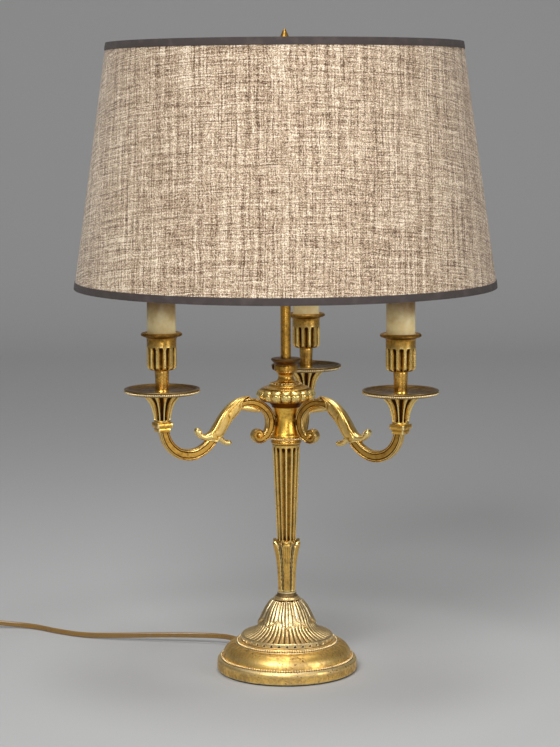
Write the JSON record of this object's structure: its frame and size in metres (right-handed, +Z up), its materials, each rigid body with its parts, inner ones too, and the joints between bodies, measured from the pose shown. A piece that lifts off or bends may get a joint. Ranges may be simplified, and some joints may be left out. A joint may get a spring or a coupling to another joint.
{
  "type": "bouillotte lamp",
  "caption": "Candelabra table lamp: domed brass base, fluted column, scrolled candle arms and a linen drum shade on a sliding rod.",
  "frame": {"origin": "centre of the underside of the round base, on the surface the lamp stands on", "axes": "+Z up along the column; -Y towards the front view, between the left and right arms; the cord leaves at the back left"},
  "size_m": [0.6261, 0.4, 0.613],
  "materials": {
    "gilt_brass": "aged gilt cast and turned brass, brown patina in the recesses",
    "dark_bronze": "dark bronzed brass, dull",
    "zinc_steel": "zinc-plated threaded steel",
    "ivory_sleeve": "ivory candle tube, slightly aged",
    "black_thermoset": "black moulded thermoset",
    "lead_insulation": "insulated leads",
    "bulb_cap": "threaded bulb cap",
    "bulb_glass": "clear candle bulb glass",
    "linen": "coarse two-tone slub linen",
    "shade_liner": "white translucent laminate",
    "ribbon": "dark charcoal ribbon binding",
    "white_wire": "white painted wire",
    "felt": "dark felt",
    "gold_cord": "gold twin flex",
    "cord_tie": "soft black strap",
    "switch_plastic": "gold-coloured moulded plastic",
    "rocker_plastic": "black rocker",
    "plated_pin": "plated contact pin"
  },
  "bodies": {
    "stand": {"arm_back": "gilt_brass", "arm_left": "gilt_brass", "arm_right": "gilt_brass", "base_bell": "gilt_brass", "base_foot": "gilt_brass", "base_washer": "zinc_steel", "bead_collar": "gilt_brass", "bell_collar": "gilt_brass", "candle_cup_back": "gilt_brass", "candle_cup_left": "gilt_brass", "candle_cup_right": "gilt_brass", "candle_nipples": "zinc_steel", "candle_sleeve_back": "ivory_sleeve", "candle_sleeve_left": "ivory_sleeve", "candle_sleeve_right": "ivory_sleeve", "candle_stem_back": "gilt_brass", "candle_stem_left": "gilt_brass", "candle_stem_right": "gilt_brass", "clamp_collar": "gilt_brass", "cord_bush": "black_thermoset", "cord_coil": "gold_cord", "cord_tie": "cord_tie", "cover_disc": "dark_bronze", "drip_pan_back": "dark_bronze", "drip_pan_left": "dark_bronze", "drip_pan_right": "dark_bronze", "felt_pad": "felt", "fluted_column": "gilt_brass", "gadroon_cap": "gilt_brass", "hub_body": "gilt_brass", "inner_leads": "lead_insulation", "lampholders": "black_thermoset", "leaf_calyx": "gilt_brass", "neck_spool": "gilt_brass", "plug_body": "switch_plastic", "plug_pins": "plated_pin", "power_cord": "gold_cord", "switch_case": "switch_plastic", "tie_rod": "zinc_steel", "tie_rod_nuts": "zinc_steel", "trumpet_back": "gilt_brass", "trumpet_left": "gilt_brass", "trumpet_right": "gilt_brass"},
    "rod": {"shade_rod": "gilt_brass"},
    "shade": {"shade_spider": "white_wire", "shade_ring_bottom": "white_wire", "shade_fabric": "linen", "shade_liner": "shade_liner", "shade_trim_bottom": "ribbon", "shade_trim_top": "ribbon"},
    "finial": {"finial": "gilt_brass"},
    "lock_screw": {"lock_screw": "dark_bronze"},
    "switch_rocker": {"switch_rocker": "rocker_plastic"},
    "bulb_left": {"bulb_cap_left": "bulb_cap", "bulb_glass_left": "bulb_glass"},
    "bulb_right": {"bulb_cap_right": "bulb_cap", "bulb_glass_right": "bulb_glass"},
    "bulb_back": {"bulb_cap_back": "bulb_cap", "bulb_glass_back": "bulb_glass"}
  },
  "joints": [
    {"name": "rod_slide", "type": "slide", "parent": "stand", "child": "rod", "axis": [0, 0, 1], "range_m": [-0.02, 0.03]},
    {"name": "shade_turn", "type": "hinge", "parent": "rod", "child": "shade", "pos_m": [0, 0, 0.588], "axis": [0, 0, 1], "continuous": true},
    {"name": "finial_turn", "type": "hinge", "parent": "rod", "child": "finial", "pos_m": [0, 0, 0.595], "axis": [0, 0, 1], "continuous": true},
    {"name": "lock_screw_turn", "type": "hinge", "parent": "stand", "child": "lock_screw", "pos_m": [0, 0, 0.294], "axis": [-0.866, 0.5, 0], "continuous": true},
    {"name": "switch_rock", "type": "hinge", "parent": "stand", "child": "switch_rocker", "pos_m": [-0.348, 0.1645, 0.015], "axis": [0, 1, 0], "range_deg": [0, 14]},
    {"name": "bulb_left_turn", "type": "hinge", "parent": "stand", "child": "bulb_left", "pos_m": [-0.1151, -0.05367, 0.4], "axis": [0, 0, 1], "continuous": true},
    {"name": "bulb_right_turn", "type": "hinge", "parent": "stand", "child": "bulb_right", "pos_m": [0.10529, -0.07102, 0.4], "axis": [0, 0, 1], "continuous": true},
    {"name": "bulb_back_turn", "type": "hinge", "parent": "stand", "child": "bulb_back", "pos_m": [0.02096, 0.12526, 0.4], "axis": [0, 0, 1], "continuous": true}
  ]
}
